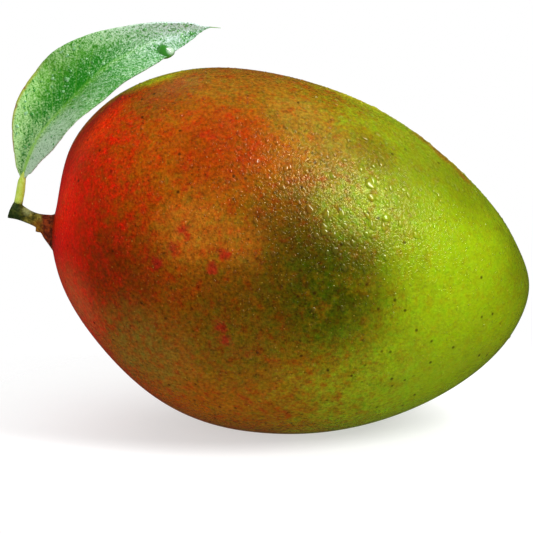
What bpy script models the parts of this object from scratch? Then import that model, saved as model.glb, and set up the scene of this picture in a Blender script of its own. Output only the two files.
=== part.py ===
"""A picked mango with its stem and one leaf, resting on its belly. Metres, +Z up.

The long axis runs along X, with the stem end at -X and the tip at +X. The origin is
the middle of the small flat spot that the fruit rests on, under its weight.
"""

import math

import bmesh
import bpy
import numpy as np
from mathutils import Vector

# The fruit: 122 mm from stem end to tip, 93 mm high as it lies and 82 mm through.
FRUIT_HALF_LENGTH = 0.0609
FRUIT_HALF_HEIGHT = 0.0449
THICKNESS_TO_HEIGHT = 0.90
STEM_END_FULLNESS = 2.53
TIP_FULLNESS = 2.14
# How the girth and the centre line change, by rising powers of the station along the
# axis, which runs from -1 at the stem end to 1 at the tip.
GIRTH_TERMS = (1.0, -0.140, -0.229, 0.026, 0.062)
BOW_TERMS = (0.0, -0.054, 0.022, -0.082, 0.059)
AXIS_DIP = math.radians(8.1)
# Low swells on the skin: station, turn round the axis (90 degrees is up, -90 is the
# belly and 180 faces -Y), rise and spread in degrees.
SWELLS = (
    (-0.972, 90.0, 0.0009, 10.0),
    (-0.78, 90.0, -0.0004, 15.0),
    (-0.44, 90.0, 0.0004, 14.0),
    (0.94, 90.0, -0.0006, 12.0),
    (1.00, 0.0, 0.0004, 9.0),
    (-0.30, -90.0, 0.0010, 28.0),
    (-0.70, -90.0, -0.0006, 15.0),
    (0.30, 14.0, 0.0007, 34.0),
    (-0.25, 196.0, -0.0005, 30.0),
)
# The skin is drawn out into a low neck round the stem, more of it on the belly side.
NECK_RISE = 0.0010
NECK_SPREAD = 0.0056
NECK_DROP = 0.0016
ROUND_SEGMENTS = 56
LENGTH_SEGMENTS = 40
STEM_RING_CROWDING = 1.8
TIP_RING_CROWDING = 1.15
REST_DEPTH = 0.0010

# The stem: a woody twig, 13 mm long, rooted in a socket at the top of the neck.
GAP = 0.0003
SOCKET_RADIUS = 0.0024
SOCKET_DEPTH = 0.0020
# Stations of the twig from the neck outwards: x, y and z from the stem end, and radius.
TWIG = (
    (0.0018, 0.0001, 0.0000, 0.00520),
    (0.0010, 0.0000, 0.0003, 0.00420),
    (0.0001, 0.0000, 0.0007, 0.00345),
    (-0.0008, 0.0000, 0.0011, 0.00295),
    (-0.0018, -0.0001, 0.0020, 0.00220),
    (-0.0028, -0.0002, 0.0026, 0.00175),
    (-0.0041, -0.0002, 0.0031, 0.00152),
    (-0.0058, -0.0001, 0.0038, 0.00150),
    (-0.0079, 0.0001, 0.0048, 0.00180),
    (-0.0101, 0.0004, 0.0056, 0.00225),
)
# A snapped side shoot, on the underside near the fruit.
STUB_FROM = (-0.0012, -0.0002, 0.0004)
STUB_TO = (-0.0039, -0.0006, 0.0007)
STUB_RADIUS = 0.00095
TWIG_SIDES = 18
BOSS_LENGTH = 0.0024
STALK_CLEARED = 0.0025
BOSS_RADIUS = 0.00125

# The leaf: 67 mm of blade on a 6 mm stalk, which stands on the end of the twig.
# The rib's line from the foot of the stalk to the leaf's tip, from the stem end.
RIB_LINE = (
    (-0.0083, 0.0001, 0.0071),
    (-0.0077, 0.0004, 0.0100),
    (-0.0072, 0.0003, 0.0129),
    (-0.0061, 0.0000, 0.0168),
    (-0.0038, -0.0008, 0.0222),
    (-0.0006, -0.0018, 0.0270),
    (0.0046, -0.0028, 0.0326),
    (0.0099, -0.0032, 0.0380),
    (0.0154, -0.0028, 0.0428),
    (0.0218, -0.0014, 0.0462),
    (0.0285, 0.0008, 0.0490),
    (0.0347, 0.0032, 0.0506),
    (0.0406, 0.0058, 0.0514),
)
BLADE_FIRST = 2
# The blade by its share of the length: half its width, and how far it is rolled about
# the rib, in degrees, so that its upper half faces -Y.
BLADE_SHARES = (0.0, 0.06, 0.12, 0.20, 0.30, 0.40, 0.50, 0.60, 0.70, 0.80, 0.90, 1.0)
BLADE_WIDTHS = (0.9, 2.8, 5.0, 8.3, 10.8, 11.6, 10.5, 8.5, 6.5, 4.6, 2.7, 0.4)
BLADE_ROLLS = (18.0, 20.0, 26.0, 35.0, 40.0, 41.0, 35.0, 25.0, 14.0, 0.0, -14.0, -22.0)
BLADE_THICKNESS = 0.0006
BLADE_FOLD = math.radians(28.0)
FOLD_ROUNDING = 0.0012
BLADE_WAVE = 0.0006
BLADE_WAVES = 3.5
BLADE_ROWS = 36
BLADE_COLUMNS = 8
STALK_RADIUS = 0.00085
RIB_RADIUS = 0.0005
TIP_RADIUS = 0.00035
RIB_BEHIND = 0.0003

SKIN = ("mango_skin", (0.62, 0.20, 0.03), 0.32)
BARK = ("stem_bark", (0.10, 0.09, 0.02), 0.75)
LEAF_GREEN = ("leaf_green", (0.06, 0.27, 0.03), 0.35)


def clear_scene():
    for obj in list(bpy.data.objects):
        bpy.data.objects.remove(obj)


def new_collection(name):
    collection = bpy.data.collections.new(name)
    bpy.context.scene.collection.children.link(collection)
    return collection


def material(name, colour, roughness):
    made = bpy.data.materials.new(name)
    made.use_nodes = True
    shader = made.node_tree.nodes["Principled BSDF"]
    shader.inputs["Base Color"].default_value = (*colour, 1.0)
    shader.inputs["Roughness"].default_value = roughness
    shader.inputs["Metallic"].default_value = 0.0
    return made


def object_of(mesh, name, collection):
    obj = bpy.data.objects.new(name, mesh)
    collection.objects.link(obj)
    return obj


def finish(obj, name, look):
    """Names a finished piece, shades it smooth and gives it its material."""
    obj.name = name
    obj.data.name = name
    obj.data.materials.clear()
    obj.data.materials.append(material(*look))
    obj.data.shade_smooth()
    obj.data.set_sharp_from_angle(angle=math.radians(40.0))
    return obj


def make_guide(obj):
    obj.hide_render = True
    obj.display_type = "WIRE"
    return obj


def applied(obj):
    """The object with its modifiers worked into its mesh."""
    graph = bpy.context.evaluated_depsgraph_get()
    mesh = bpy.data.meshes.new_from_object(obj.evaluated_get(graph))
    obj.modifiers.clear()
    obj.data = mesh
    return obj


def boolean(obj, other, operation):
    cut = obj.modifiers.new(operation.lower(), "BOOLEAN")
    cut.operation = operation
    cut.object = other
    return cut


def face_out(shape):
    """Turns a closed shape's faces so that they all look outwards."""
    if shape.calc_volume(signed=True) < 0:
        bmesh.ops.reverse_faces(shape, faces=shape.faces[:])
    shape.normal_update()


def power_sum(terms, station):
    return sum(term * station**power for power, term in enumerate(terms))


def station_of(polar):
    """The place along the axis, -1 to 1, of a ring of the sphere at this angle from the
    stem end. Rings crowd towards the stem end, where the neck needs them."""
    quarter = math.pi / 2
    if polar <= quarter:
        return -math.cos(quarter * (polar / quarter) ** STEM_RING_CROWDING)
    from_tip = (math.pi - polar) / quarter
    return math.cos(quarter * from_tip**TIP_RING_CROWDING)


def fullness_at(station):
    middle = (STEM_END_FULLNESS + TIP_FULLNESS) / 2
    return middle + (TIP_FULLNESS - STEM_END_FULLNESS) / 2 * station


def swell_at(station, turn):
    """How far the low swells lift the skin here."""
    ring = math.sqrt(max(0.0, 1 - station**2))
    here = Vector((station, ring * math.cos(turn), ring * math.sin(turn)))
    lift = 0.0
    for centre, centre_turn, rise, spread in SWELLS:
        round_it = math.radians(centre_turn)
        across = math.sqrt(1 - centre**2)
        there = Vector(
            (centre, across * math.cos(round_it), across * math.sin(round_it))
        )
        lift += rise * math.exp(-here.angle(there, 0.0) ** 2 / math.radians(spread) ** 2)
    return lift


def plain_skin_point(station, turn):
    """A point of the skin, measured from the middle of the fruit."""
    fullness = fullness_at(station)
    ring = max(0.0, 1 - abs(station) ** fullness) ** (1 / fullness)
    half_height = FRUIT_HALF_HEIGHT * ring * power_sum(GIRTH_TERMS, station)
    lift = swell_at(station, turn)
    along = FRUIT_HALF_LENGTH * station + lift * station
    around = lift * math.sqrt(max(0.0, 1 - station**2))
    across = (THICKNESS_TO_HEIGHT * half_height + around) * math.cos(turn)
    bow = FRUIT_HALF_LENGTH * ring * power_sum(BOW_TERMS, station)
    up = bow + (half_height + around) * math.sin(turn)
    if station < 0:
        off_neck = math.hypot(across, up + NECK_DROP)
        along -= NECK_RISE * math.exp(-((off_neck / NECK_SPREAD) ** 2))
    return Vector(
        (
            along * math.cos(AXIS_DIP) + up * math.sin(AXIS_DIP),
            across,
            up * math.cos(AXIS_DIP) - along * math.sin(AXIS_DIP),
        )
    )


def find_rest():
    """The place that the origin takes: above the lowest of the belly, and high enough
    for the floor to cut the resting spot's depth off it."""
    station, turn, reach = 0.0, -math.pi / 2, 0.5
    for _ in range(12):
        tries = [
            (station + reach * i / 4, turn + 0.5 * reach * j / 4)
            for i in range(-4, 5)
            for j in range(-4, 5)
        ]
        station, turn = min(tries, key=lambda place: plain_skin_point(*place).z)
        reach /= 2
    return plain_skin_point(station, turn) + Vector((0.0, 0.0, REST_DEPTH))


REST = find_rest()


def skin_point(station, turn):
    """A point of the skin in the row frame. Turn is 90 degrees at the top."""
    return plain_skin_point(station, turn) - REST


def skin_mesh(name, grown_by=0.0):
    """The whole skin as a mesh, or one grown outwards to cut its neighbours."""
    shape = bmesh.new()
    bmesh.ops.create_uvsphere(
        shape, u_segments=ROUND_SEGMENTS, v_segments=LENGTH_SEGMENTS, radius=1.0
    )
    for vertex in shape.verts:
        polar = math.acos(max(-1.0, min(1.0, -vertex.co.z)))
        turn = math.atan2(vertex.co.y, vertex.co.x)
        vertex.co = skin_point(station_of(polar), turn)
    face_out(shape)
    if grown_by:
        outwards = [vertex.normal.copy() for vertex in shape.verts]
        for vertex, normal in zip(shape.verts, outwards):
            vertex.co += grown_by * normal
    mesh = bpy.data.meshes.new(name)
    shape.to_mesh(mesh)
    shape.free()
    return mesh


def stem_frame():
    """The top of the neck, and the way that the stem leaves it."""
    out = Vector((-math.cos(AXIS_DIP), 0.0, math.sin(AXIS_DIP)))
    up = Vector((math.sin(AXIS_DIP), 0.0, math.cos(AXIS_DIP)))
    return skin_point(-1.0, 0.0) - NECK_DROP * up, out


def cylinder(name, start, end, radius, collection, sides=24):
    """A closed cylinder between two points."""
    shape = bmesh.new()
    axis = end - start
    bmesh.ops.create_cone(
        shape,
        cap_ends=True,
        segments=sides,
        radius1=radius,
        radius2=radius,
        depth=axis.length,
    )
    mesh = bpy.data.meshes.new(name)
    shape.to_mesh(mesh)
    shape.free()
    obj = object_of(mesh, name, collection)
    obj.location = (start + end) / 2
    obj.rotation_mode = "QUATERNION"
    obj.rotation_quaternion = axis.to_track_quat("Z", "Y")
    return obj


def box(name, low, high, collection):
    shape = bmesh.new()
    bmesh.ops.create_cube(shape, size=1.0)
    for vertex in shape.verts:
        vertex.co = Vector(
            low[i] + (vertex.co[i] + 0.5) * (high[i] - low[i]) for i in range(3)
        )
    mesh = bpy.data.meshes.new(name)
    shape.to_mesh(mesh)
    shape.free()
    return object_of(mesh, name, collection)


def smooth_line(points, steps):
    """Points along a smooth curve through the given ones, ends included."""
    rows = np.array(points, float)
    padded = np.vstack([2 * rows[0] - rows[1], rows, 2 * rows[-1] - rows[-2]])
    line = []
    for i in range(len(rows) - 1):
        a, b, c, d = padded[i : i + 4]
        for step in range(steps):
            t = step / steps
            bend = (2 * a - 5 * b + 4 * c - d) * t**2 + (3 * b - a - 3 * c + d) * t**3
            line.append((2 * b + (c - a) * t + bend) / 2)
    line.append(rows[-1])
    return np.array(line)


def rod(name, centres, radii, ways, sides, collection):
    """A closed round rod: a sphere whose rings are moved to the stations. Each ring
    faces its way, and the two poles become the middles of the flat ends."""
    count = len(centres)
    shape = bmesh.new()
    bmesh.ops.create_uvsphere(
        shape, u_segments=sides, v_segments=count + 1, radius=1.0
    )
    for vertex in shape.verts:
        polar = math.acos(max(-1.0, min(1.0, -vertex.co.z)))
        ring = round(polar / math.pi * (count + 1)) - 1
        station = max(0, min(count - 1, ring))
        place = Vector(centres[station])
        if ring == station:
            way = Vector(ways[station]).normalized()
            side = way.cross(Vector((0.0, 1.0, 0.0))).normalized()
            front = way.cross(side)
            turn = math.atan2(vertex.co.y, vertex.co.x)
            place += float(radii[station]) * math.cos(turn) * side
            place += float(radii[station]) * math.sin(turn) * front
        vertex.co = place
    face_out(shape)
    mesh = bpy.data.meshes.new(name)
    shape.to_mesh(mesh)
    shape.free()
    return object_of(mesh, name, collection)


def ways_along(line, reach):
    """The direction of a line at each of its points, over a reach of points."""
    last = len(line) - 1
    ways = [
        line[min(last, i + reach)] - line[max(0, i - reach)] for i in range(last + 1)
    ]
    return np.array(ways) / np.linalg.norm(ways, axis=1)[:, None]


def build_fruit(parts, guides):
    """The fruit, with its flat resting spot and the socket that the stem stands in."""
    fruit = object_of(skin_mesh("fruit"), "fruit", parts)
    far = 2 * FRUIT_HALF_LENGTH
    below = box("cut_rest_spot", (-far, -far, -far), (far, far, 0.0), guides)
    root, out = stem_frame()
    socket = cylinder(
        "cut_stem_socket",
        root - SOCKET_DEPTH * out,
        root + SOCKET_DEPTH * out,
        SOCKET_RADIUS,
        guides,
    )
    boolean(fruit, make_guide(below), "DIFFERENCE")
    boolean(fruit, make_guide(socket), "DIFFERENCE")
    return finish(applied(fruit), "fruit", SKIN)


def build_stem(parts, guides):
    """The twig with its snapped side shoot and the boss under the leaf's stalk."""
    root, out = stem_frame()
    stations = smooth_line(TWIG, 3)
    centres = stations[:, :3] + np.array(root)
    ways = ways_along(centres, 6)
    hold = np.linspace(1.0, 0.0, len(ways))[:, None] ** 2
    ways = hold * np.array(out) + (1 - hold) * ways
    stem = rod("twig", centres, stations[:, 3], ways, TWIG_SIDES, parts)
    shoot = np.linspace(STUB_FROM, STUB_TO, 4) + np.array(root)
    shoot_radii = STUB_RADIUS * np.array((1.0, 0.94, 0.90, 0.78))
    stub = rod("side_shoot", shoot, shoot_radii, ways_along(shoot, 1), 10, guides)
    foot = root + Vector(RIB_LINE[0])
    way = (Vector(RIB_LINE[1]) - Vector(RIB_LINE[0])).normalized()
    boss = cylinder(
        "boss", foot - BOSS_LENGTH * way, foot - GAP * way, BOSS_RADIUS, guides, 16
    )
    clear = cylinder(
        "cut_stalk",
        foot - GAP * way,
        foot + STALK_CLEARED * way,
        STALK_RADIUS + GAP,
        guides,
        sides=16,
    )
    peg = cylinder(
        "peg",
        root - (SOCKET_DEPTH - GAP) * out,
        root + SOCKET_DEPTH * out,
        SOCKET_RADIUS - GAP,
        guides,
        sides=20,
    )
    grown_skin = object_of(skin_mesh("cut_skin", GAP), "cut_skin", guides)
    boolean(stem, make_guide(stub), "UNION")
    boolean(stem, make_guide(boss), "UNION")
    boolean(stem, make_guide(grown_skin), "DIFFERENCE")
    boolean(stem, make_guide(peg), "UNION")
    boolean(stem, make_guide(clear), "DIFFERENCE")
    return finish(applied(stem), "stem", BARK)


def along_line(line, shares):
    """Points at these shares of a line's length."""
    steps = np.linalg.norm(np.diff(line, axis=0), axis=1)
    lengths = np.concatenate(([0.0], np.cumsum(steps)))
    wanted = np.asarray(shares) * lengths[-1]
    return np.stack([np.interp(wanted, lengths, line[:, i]) for i in range(3)], axis=1)


def smooth_table(shares, values, wanted):
    """A table's values at the wanted shares, without corners at its rows."""
    spread = 0.025
    total = np.zeros(len(wanted))
    for offset in (-1.5, -1.0, -0.5, 0.0, 0.5, 1.0, 1.5):
        total += np.interp(np.asarray(wanted) + offset * spread, shares, values)
    return total / 7


def blade_frames(line, rolls):
    """The width direction and the facing direction of the blade along its rib."""
    tangents = np.gradient(line, axis=0)
    tangents /= np.linalg.norm(tangents, axis=1)[:, None]
    facing = np.array((0.0, -1.0, 0.0))
    level = np.cross(tangents, facing)
    level /= np.linalg.norm(level, axis=1)[:, None]
    front = np.cross(level, tangents)
    turn = np.radians(rolls)[:, None]
    widths = level * np.cos(turn) + front * np.sin(turn)
    normals = front * np.cos(turn) - level * np.sin(turn)
    return widths, normals


def build_blade(parts):
    """The folded, lightly waved blade: a sheet on the rib's line, then thickened."""
    steps = 12
    rib = smooth_line(RIB_LINE, steps)[BLADE_FIRST * steps :]
    shares = np.linspace(0.0, 1.0, BLADE_ROWS + 1)
    line = along_line(rib, shares)
    half_widths = smooth_table(BLADE_SHARES, BLADE_WIDTHS, shares) / 1000
    rolls = smooth_table(BLADE_SHARES, BLADE_ROLLS, shares)
    widths, normals = blade_frames(line, rolls)
    root, _ = stem_frame()
    shape = bmesh.new()
    bmesh.ops.create_grid(
        shape, x_segments=BLADE_COLUMNS, y_segments=BLADE_ROWS, size=1.0
    )
    for vertex in shape.verts:
        row = round((vertex.co.y + 1) / 2 * BLADE_ROWS)
        side = vertex.co.x
        out = half_widths[row] * abs(side)
        wave = BLADE_WAVE * side**2 * math.sin(2 * math.pi * BLADE_WAVES * shares[row])
        wave *= half_widths[row] / max(half_widths) * (1 if side > 0 else -1)
        risen = math.hypot(out, FOLD_ROUNDING) - FOLD_ROUNDING
        lift = risen * math.sin(BLADE_FOLD) + wave
        reach = math.copysign(out - risen * (1 - math.cos(BLADE_FOLD)), side)
        place = line[row] + reach * widths[row] + lift * normals[row]
        vertex.co = root + Vector(place)
    bmesh.ops.triangulate(shape, faces=shape.faces[:])
    bmesh.ops.recalc_face_normals(shape, faces=shape.faces[:])
    mesh = bpy.data.meshes.new("blade")
    shape.to_mesh(mesh)
    shape.free()
    blade = object_of(mesh, "blade", parts)
    thicken = blade.modifiers.new("thickness", "SOLIDIFY")
    thicken.thickness = BLADE_THICKNESS
    thicken.offset = 0.0
    return blade


def build_leaf(parts, guides):
    """The blade joined to its stalk and midrib, which is one tapering rod."""
    blade = build_blade(parts)
    steps = 4
    line = smooth_line(RIB_LINE, steps)
    root, _ = stem_frame()
    first = BLADE_FIRST * steps
    last = len(line) - 1
    rolls = np.interp(np.arange(len(line)), (first, last), (16.0, 0.0))
    _, normals = blade_frames(line, rolls)
    centres = []
    radii = []
    for i, point in enumerate(line[:-1]):
        on_stalk = max(0.0, 1 - i / first)
        on_blade = max(0.0, (i - first) / (last - first))
        radius = RIB_RADIUS + (STALK_RADIUS - RIB_RADIUS) * min(1.0, 0.35 + on_stalk)
        radii.append(radius + (TIP_RADIUS - RIB_RADIUS) * on_blade)
        behind = RIB_BEHIND * min(1.0, 4 * on_blade)
        centres.append(point - behind * normals[i] + np.array(root))
    rib = rod("rib", centres, radii, ways_along(np.array(centres), 1), 8, guides)
    boolean(blade, make_guide(rib), "UNION")
    return finish(applied(blade), "leaf", LEAF_GREEN)


def main():
    clear_scene()
    parts = new_collection("mango")
    guides = new_collection("cutters")
    build_fruit(parts, guides)
    build_stem(parts, guides)
    build_leaf(parts, guides)


main()
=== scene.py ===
"""The looks of the mango: fine skin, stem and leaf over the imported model, with its dew."""

import math

import bmesh
import bpy
import numpy as np
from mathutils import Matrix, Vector


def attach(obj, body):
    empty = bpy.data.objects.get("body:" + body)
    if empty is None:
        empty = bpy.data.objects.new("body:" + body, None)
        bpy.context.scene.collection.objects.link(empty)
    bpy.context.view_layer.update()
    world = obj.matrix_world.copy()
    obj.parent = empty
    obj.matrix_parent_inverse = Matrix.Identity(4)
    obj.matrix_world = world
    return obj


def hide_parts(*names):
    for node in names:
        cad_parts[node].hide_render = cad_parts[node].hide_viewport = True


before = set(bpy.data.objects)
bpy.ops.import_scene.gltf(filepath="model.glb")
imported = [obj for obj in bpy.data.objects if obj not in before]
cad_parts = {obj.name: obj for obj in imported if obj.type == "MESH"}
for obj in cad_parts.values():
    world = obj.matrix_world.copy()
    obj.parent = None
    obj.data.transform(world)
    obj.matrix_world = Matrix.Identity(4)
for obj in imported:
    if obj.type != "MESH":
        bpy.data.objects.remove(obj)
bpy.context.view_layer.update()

MM = 0.001
WHITE = (1.0, 1.0, 1.0, 1.0)
TINY = 1e-12

# The fruit's formula, as in the part's source.
FRUIT_HALF_LENGTH = 0.0609
FRUIT_HALF_HEIGHT = 0.0449
THICKNESS_TO_HEIGHT = 0.90
STEM_END_FULLNESS = 2.53
TIP_FULLNESS = 2.14
GIRTH_TERMS = (1.0, -0.140, -0.229, 0.026, 0.062)
BOW_TERMS = (0.0, -0.054, 0.022, -0.082, 0.059)
AXIS_DIP = math.radians(8.1)
SWELLS = (
    (-0.972, 90.0, 0.0009, 10.0),
    (-0.78, 90.0, -0.0004, 15.0),
    (-0.44, 90.0, 0.0004, 14.0),
    (0.94, 90.0, -0.0006, 12.0),
    (1.00, 0.0, 0.0004, 9.0),
    (-0.30, -90.0, 0.0010, 28.0),
    (-0.70, -90.0, -0.0006, 15.0),
    (0.30, 14.0, 0.0007, 34.0),
    (-0.25, 196.0, -0.0005, 30.0),
)
NECK_RISE = 0.0010
NECK_SPREAD = 0.0056
NECK_DROP = 0.0016
STEM_RING_CROWDING = 1.5
TIP_RING_CROWDING = 1.15
REST_DEPTH = 0.0010
# Where the lowest of the belly is looked for: from, to and the number of steps.
BELLY_STATIONS = (-0.5, 0.5, 401)
BELLY_TURNS = (-2.1, -1.05, 401)
SKIN_SEGMENTS = 224
SKIN_RINGS = 168

# The twig and the leaf, measured from the stem end, on the lines of the part's source.
# The twig and the stalk are a little thicker than there, the rib and the blade thinner.
# Stations of the twig: x, y, z and radius.
TWIG = (
    (0.0018, 0.0001, 0.0000, 0.00600),
    (0.0010, 0.0000, 0.0004, 0.00500),
    (0.0001, 0.0000, 0.0008, 0.00400),
    (-0.0008, 0.0000, 0.0012, 0.00320),
    (-0.0018, -0.0001, 0.0020, 0.00245),
    (-0.0028, -0.0002, 0.0026, 0.00195),
    (-0.0041, -0.0002, 0.0031, 0.00170),
    (-0.0058, -0.0001, 0.0038, 0.00168),
    (-0.0079, 0.0001, 0.0048, 0.00195),
    (-0.0101, 0.0004, 0.0056, 0.00240),
)
STUB_FROM = (-0.0012, -0.0002, 0.0004)
STUB_TO = (-0.0039, -0.0006, 0.0007)
STUB_RADIUS = 0.00095
BOSS_LENGTH = 0.0024
BOSS_RADIUS = 0.00125
RIB_LINE = (
    (-0.0083, 0.0001, 0.0071),
    (-0.0077, 0.0004, 0.0100),
    (-0.0072, 0.0003, 0.0129),
    (-0.0061, 0.0000, 0.0168),
    (-0.0038, -0.0008, 0.0222),
    (-0.0006, -0.0018, 0.0270),
    (0.0046, -0.0028, 0.0326),
    (0.0099, -0.0032, 0.0380),
    (0.0154, -0.0028, 0.0428),
    (0.0218, -0.0014, 0.0462),
    (0.0285, 0.0008, 0.0490),
    (0.0347, 0.0032, 0.0506),
    (0.0406, 0.0058, 0.0514),
)
BLADE_FIRST = 2
BLADE_SHARES = (0.0, 0.06, 0.12, 0.20, 0.30, 0.40, 0.50, 0.60, 0.70, 0.80, 0.90, 1.0)
BLADE_WIDTHS = (0.9, 2.8, 5.0, 8.3, 10.8, 11.6, 10.5, 8.5, 6.5, 4.6, 2.7, 0.4)
BLADE_ROLLS = (18.0, 20.0, 26.0, 35.0, 40.0, 41.0, 35.0, 25.0, 14.0, 0.0, -14.0, -22.0)
# How much fuller the upper and the lower half are than the table, where fullest.
UPPER_FULLER = 0.0009
LOWER_FULLER = 0.0004
BLADE_THICKNESS = 0.0004
BLADE_FOLD = math.radians(28.0)
FOLD_ROUNDING = 0.0012
BLADE_WAVE = 0.0006
BLADE_WAVES = 3.5
# The blade narrows to nothing over these shares of its length at its tip and foot.
BLADE_TIP_FROM = 0.07
BLADE_FOOT_TO = 0.05
BLADE_ROWS = 200
BLADE_COLUMNS = 40
STALK_RADIUS = 0.00112
RIB_RADIUS = 0.00028
TIP_RADIUS = 0.00012
RIB_TAPERS_TO = 0.12
HAIR_END = (0.0434, 0.0068, 0.0511)
HAIR_RADIUS = 0.00005
VEIN_PAIRS = 15
VEIN_RELIEF = 0.00012
# How far the veins lean to the tip, and how they bend as they go out.
VEIN_LEAN = 0.16
VEIN_BEND = 0.8

# The camera: half a metre away, looking along +Y and down.
CAMERA_TARGET = (-0.005913, 0.0, 0.042215)
CAMERA_DISTANCE = 0.50
CAMERA_TILT = math.radians(12.0)
CAMERA_LENS = 131.71
SENSOR_WIDTH = 36.0

# The dew.
FINE_DROPS = 7000
SKIN_DROPS = 1800
LEAF_DROPS = 700
BIG_DROP_SHARE = 0.80
BIG_DROP_SIDE = 0.74
BIG_DROP_RADIUS = 0.0018
SEED = 7


def power_sum(terms, station):
    return sum(term * station**power for power, term in enumerate(terms))


def station_of(polar):
    """The place along the fruit, -1 to 1, of a ring of the sphere at this angle."""
    quarter = math.pi / 2
    near_stem = np.clip(polar / quarter, 0, 1)
    near_tip = np.clip((math.pi - polar) / quarter, 0, 1)
    stem_half = -np.cos(quarter * near_stem**STEM_RING_CROWDING)
    tip_half = np.cos(quarter * near_tip**TIP_RING_CROWDING)
    return np.where(polar <= quarter, stem_half, tip_half)


def swell_at(station, turn):
    """How far the low swells lift the skin."""
    ring = np.sqrt(np.clip(1 - station**2, 0, 1))
    lift = np.zeros_like(station)
    for centre, centre_turn, rise, spread in SWELLS:
        across = math.sqrt(1 - centre**2)
        cosine = station * centre + ring * across * np.cos(
            turn - math.radians(centre_turn)
        )
        angle = np.arccos(np.clip(cosine, -1, 1))
        lift += rise * np.exp(-((angle / math.radians(spread)) ** 2))
    return lift


def plain_skin_points(station, turn):
    """Points of the skin, measured from the middle of the fruit."""
    middle = (STEM_END_FULLNESS + TIP_FULLNESS) / 2
    fullness = middle + (TIP_FULLNESS - STEM_END_FULLNESS) / 2 * station
    ring = np.clip(1 - np.abs(station) ** fullness, 0, 1) ** (1 / fullness)
    half_height = FRUIT_HALF_HEIGHT * ring * power_sum(GIRTH_TERMS, station)
    lift = swell_at(station, turn)
    along = FRUIT_HALF_LENGTH * station + lift * station
    around = lift * np.sqrt(np.clip(1 - station**2, 0, 1))
    across = (THICKNESS_TO_HEIGHT * half_height + around) * np.cos(turn)
    bow = FRUIT_HALF_LENGTH * ring * power_sum(BOW_TERMS, station)
    up = bow + (half_height + around) * np.sin(turn)
    off_neck = np.hypot(across, up + NECK_DROP)
    neck = NECK_RISE * np.exp(-((off_neck / NECK_SPREAD) ** 2))
    along = np.where(station < 0, along - neck, along)
    return np.stack(
        (
            along * math.cos(AXIS_DIP) + up * math.sin(AXIS_DIP),
            across,
            up * math.cos(AXIS_DIP) - along * math.sin(AXIS_DIP),
        ),
        axis=-1,
    )


def find_rest():
    """The fruit's resting place: the lowest of the belly, raised by the cut flat."""
    station, turn = np.meshgrid(
        np.linspace(*BELLY_STATIONS), np.linspace(*BELLY_TURNS), indexing="ij"
    )
    points = plain_skin_points(station, turn)
    row, column = np.unravel_index(np.argmin(points[..., 2]), station.shape)
    return points[row, column] + np.array((0.0, 0.0, REST_DEPTH))


REST = find_rest()


def skin_points(station, turn):
    return plain_skin_points(station, turn) - REST


def unit(vectors, guard=0.0):
    """The same directions, one long."""
    return vectors / (np.linalg.norm(vectors, axis=-1, keepdims=True) + guard)


def skin_normals(station, turn):
    """Which way the skin faces, from its slopes along and around."""
    step = 1e-3
    inner = np.clip(station, -1 + 2 * step, 1 - 2 * step)
    along = skin_points(inner + step, turn) - skin_points(inner - step, turn)
    around = skin_points(inner, turn + step) - skin_points(inner, turn - step)
    return unit(np.cross(around, along), TINY)


def stem_root():
    up = np.array((math.sin(AXIS_DIP), 0.0, math.cos(AXIS_DIP)))
    return skin_points(np.array(-1.0), np.array(0.0)) - NECK_DROP * up


ROOT = stem_root()
ROOT_MM = tuple(float(part) / MM for part in ROOT)
OUT = np.array((-math.cos(AXIS_DIP), 0.0, math.sin(AXIS_DIP)))


def object_of_mesh(mesh, name, material):
    """Puts a mesh in the scene as an object, shaded smooth."""
    mesh.materials.append(material)
    mesh.shade_smooth()
    made = bpy.data.objects.new(name, mesh)
    bpy.context.scene.collection.objects.link(made)
    return made


def object_of(shape, name, material):
    """Puts a bmesh in the scene as an object."""
    mesh = bpy.data.meshes.new(name)
    shape.to_mesh(mesh)
    shape.free()
    return object_of_mesh(mesh, name, material)


def face_out(shape):
    if shape.calc_volume(signed=True) < 0:
        bmesh.ops.reverse_faces(shape, faces=shape.faces[:])
    shape.normal_update()


def piece(made, slot, *nodes):
    """Puts a piece of the looks on the one body, and hides the imported parts that it stands
    for.
    """
    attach(made, "root")
    for node_name in nodes:
        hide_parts(node_name)


# Node helpers.
def linear(red, green, blue):
    """A colour given in screen values, 0 to 255, as the shaders take it."""
    parts = []
    for value in (red, green, blue):
        share = value / 255
        low = share / 12.92
        parts.append(low if share <= 0.04045 else ((share + 0.055) / 1.055) ** 2.4)
    return (*parts, 1.0)


def feed(socket, value):
    if isinstance(value, bpy.types.NodeSocket):
        socket.id_data.links.new(value, socket)
    else:
        socket.default_value = value


def add_node(kind, inputs, tree=None, **settings):
    """Adds a node to the tree, or else to that of the first socket that it is fed."""
    if tree is None:
        sockets = [v for v in inputs.values() if isinstance(v, bpy.types.NodeSocket)]
        tree = sockets[0].id_data
    made = tree.nodes.new("ShaderNode" + kind)
    for name, value in settings.items():
        setattr(made, name, value)
    for name, value in inputs.items():
        feed(made.inputs[name], value)
    return made


def maths(operation, *values):
    return add_node("Math", dict(enumerate(values)), operation=operation).outputs[0]


def plus(first, second):
    return maths("ADD", first, second)


def times(first, second):
    return maths("MULTIPLY", first, second)


def centred(value, reach):
    """A noise turned into an offset that is zero in the middle."""
    return times(maths("SUBTRACT", value, 0.5), reach)


def vector_maths(operation, first, second):
    inputs = {0: first, 1: second}
    return add_node("VectorMath", inputs, operation=operation).outputs


def moved(place, offset):
    """The place a step aside, so that a second noise or set of dots differs."""
    return vector_maths("ADD", place, offset)[0]


def distance(place, centre):
    return vector_maths("DISTANCE", place, centre)["Value"]


def scaled(value, factor):
    """A place or a colour times one number."""
    inputs = {0: value, 3: factor}
    return add_node("VectorMath", inputs, operation="SCALE").outputs[0]


def parts_of(place):
    """The three numbers of a place."""
    return add_node("SeparateXYZ", {0: place}).outputs


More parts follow.
